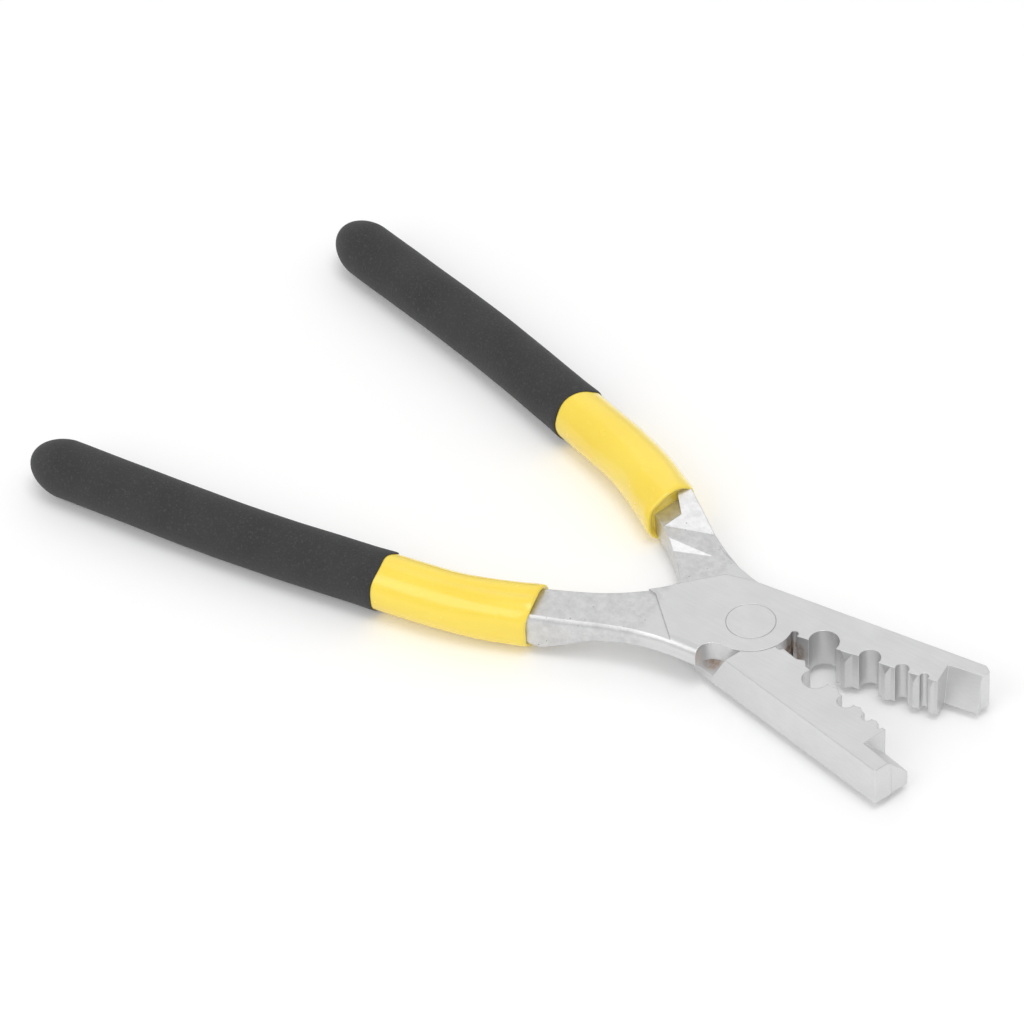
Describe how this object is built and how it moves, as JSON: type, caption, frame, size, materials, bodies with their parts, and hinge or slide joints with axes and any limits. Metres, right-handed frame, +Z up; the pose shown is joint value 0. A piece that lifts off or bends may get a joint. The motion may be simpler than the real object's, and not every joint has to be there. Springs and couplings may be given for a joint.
{
  "type": "crimping pliers",
  "caption": "Hand crimping pliers for wire end sleeves, with a row of round dies in forged jaws, a flush riveted lap joint and layered dipped grips.",
  "frame": {"origin": "the pivot axis, on the ground upper face of the joint", "axes": "+X towards the jaws along the line that the jaws close on, +Z up along the pivot, out of the upper face"},
  "size_m": [0.178, 0.0935, 0.0112],
  "materials": {
    "forged_steel": "satin ground, matte as forged on the necks",
    "rivet_steel": "ground flush",
    "yellow_sleeve": "glossy dipped plastic",
    "black_grip": "matte textured dip"
  },
  "bodies": {
    "upper": {"upper_lever": "forged_steel", "pivot_rivet": "rivet_steel", "upper_inner_sleeve": "yellow_sleeve", "upper_outer_grip": "black_grip"},
    "lower": {"lower_lever": "forged_steel", "lower_inner_sleeve": "yellow_sleeve", "lower_outer_grip": "black_grip"}
  },
  "joints": [
    {"name": "pivot", "type": "hinge", "parent": "upper", "child": "lower", "pos_m": [0, 0, -0.004], "axis": [0, 0, 1], "range_deg": [-10, 23]}
  ]
}
